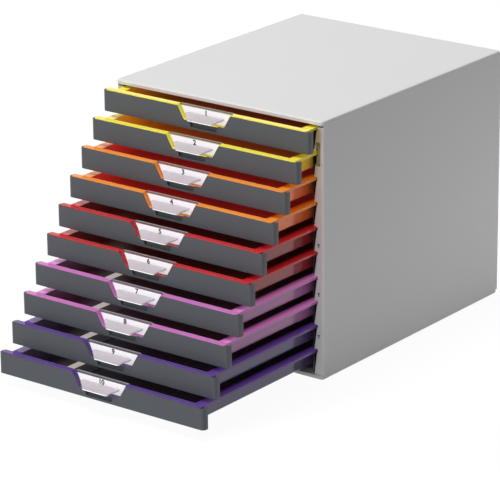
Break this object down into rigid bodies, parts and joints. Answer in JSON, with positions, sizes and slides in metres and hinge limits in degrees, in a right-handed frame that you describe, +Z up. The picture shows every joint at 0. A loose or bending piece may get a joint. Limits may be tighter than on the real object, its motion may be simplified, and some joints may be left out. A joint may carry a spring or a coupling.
{
  "type": "desktop drawer unit",
  "caption": "Light grey desktop drawer cabinet with shallow coloured A4 trays, dark fronts and clear label grips, pulled out like a staircase.",
  "frame": {"origin": "on the desk under the centre of the cabinet's body, at the level that the feet stand on", "axes": "+Z up, +Y to the back of the cabinet, +X to the right seen from the front, so the drawers slide out along -Y"},
  "size_m": [0.28, 0.5562, 0.292],
  "materials": {
    "grey_shell": "satin",
    "dark_rail": "matte",
    "rubber_feet": "matte",
    "anthracite_front": "fine satin grain",
    "tray_yellow": "gloss",
    "tray_orange": "gloss",
    "tray_red": "gloss",
    "tray_pink": "gloss",
    "tray_violet": "gloss",
    "clear_holder": "clear, polished",
    "white_card": "matte paper",
    "pale_strip": "matte card"
  },
  "bodies": {
    "cabinet": {"top_cover": "grey_shell", "side_panel_right": "grey_shell", "side_panel_left": "grey_shell", "guide_rail_right": "dark_rail", "guide_rail_left": "dark_rail", "back_panel": "grey_shell", "base_plate": "grey_shell", "feet": "rubber_feet"},
    "drawer_01": {"tray_01": "tray_yellow", "front_plate_01": "anthracite_front", "label_holder_01": "clear_holder", "label_card_01": "white_card"},
    "drawer_02": {"tray_02": "tray_yellow", "front_plate_02": "anthracite_front", "label_holder_02": "clear_holder", "label_card_02": "white_card"},
    "drawer_03": {"tray_03": "tray_orange", "front_plate_03": "anthracite_front", "label_holder_03": "clear_holder", "label_card_03": "white_card"},
    "drawer_04": {"tray_04": "tray_orange", "front_plate_04": "anthracite_front", "label_holder_04": "clear_holder", "label_card_04": "white_card"},
    "drawer_05": {"tray_05": "tray_red", "front_plate_05": "anthracite_front", "label_holder_05": "clear_holder", "label_card_05": "white_card"},
    "drawer_06": {"tray_06": "tray_red", "front_plate_06": "anthracite_front", "label_holder_06": "clear_holder", "label_card_06": "white_card"},
    "drawer_07": {"tray_07": "tray_pink", "front_plate_07": "anthracite_front", "label_holder_07": "clear_holder", "label_card_07": "white_card", "floor_strip_07": "pale_strip"},
    "drawer_08": {"tray_08": "tray_pink", "front_plate_08": "anthracite_front", "label_holder_08": "clear_holder", "label_card_08": "white_card", "floor_strip_08": "pale_strip"},
    "drawer_09": {"tray_09": "tray_violet", "front_plate_09": "anthracite_front", "label_holder_09": "clear_holder", "label_card_09": "white_card", "floor_strip_09": "pale_strip"},
    "drawer_10": {"tray_10": "tray_violet", "front_plate_10": "anthracite_front", "label_holder_10": "clear_holder", "label_card_10": "white_card", "floor_strip_10": "pale_strip"}
  },
  "joints": [
    {"name": "drawer_01_slide", "type": "slide", "parent": "cabinet", "child": "drawer_01", "axis": [0, -1, 0], "range_m": [-0.0171, 0.2329]},
    {"name": "drawer_02_slide", "type": "slide", "parent": "cabinet", "child": "drawer_02", "axis": [0, -1, 0], "range_m": [-0.03745, 0.21255]},
    {"name": "drawer_03_slide", "type": "slide", "parent": "cabinet", "child": "drawer_03", "axis": [0, -1, 0], "range_m": [-0.0578, 0.1922]},
    {"name": "drawer_04_slide", "type": "slide", "parent": "cabinet", "child": "drawer_04", "axis": [0, -1, 0], "range_m": [-0.07815, 0.17185]},
    {"name": "drawer_05_slide", "type": "slide", "parent": "cabinet", "child": "drawer_05", "axis": [0, -1, 0], "range_m": [-0.0985, 0.1515]},
    {"name": "drawer_06_slide", "type": "slide", "parent": "cabinet", "child": "drawer_06", "axis": [0, -1, 0], "range_m": [-0.11885, 0.13115]},
    {"name": "drawer_07_slide", "type": "slide", "parent": "cabinet", "child": "drawer_07", "axis": [0, -1, 0], "range_m": [-0.1392, 0.1108]},
    {"name": "drawer_08_slide", "type": "slide", "parent": "cabinet", "child": "drawer_08", "axis": [0, -1, 0], "range_m": [-0.15955, 0.09045]},
    {"name": "drawer_09_slide", "type": "slide", "parent": "cabinet", "child": "drawer_09", "axis": [0, -1, 0], "range_m": [-0.1799, 0.0701]},
    {"name": "drawer_10_slide", "type": "slide", "parent": "cabinet", "child": "drawer_10", "axis": [0, -1, 0], "range_m": [-0.20025, 0.04975]}
  ]
}
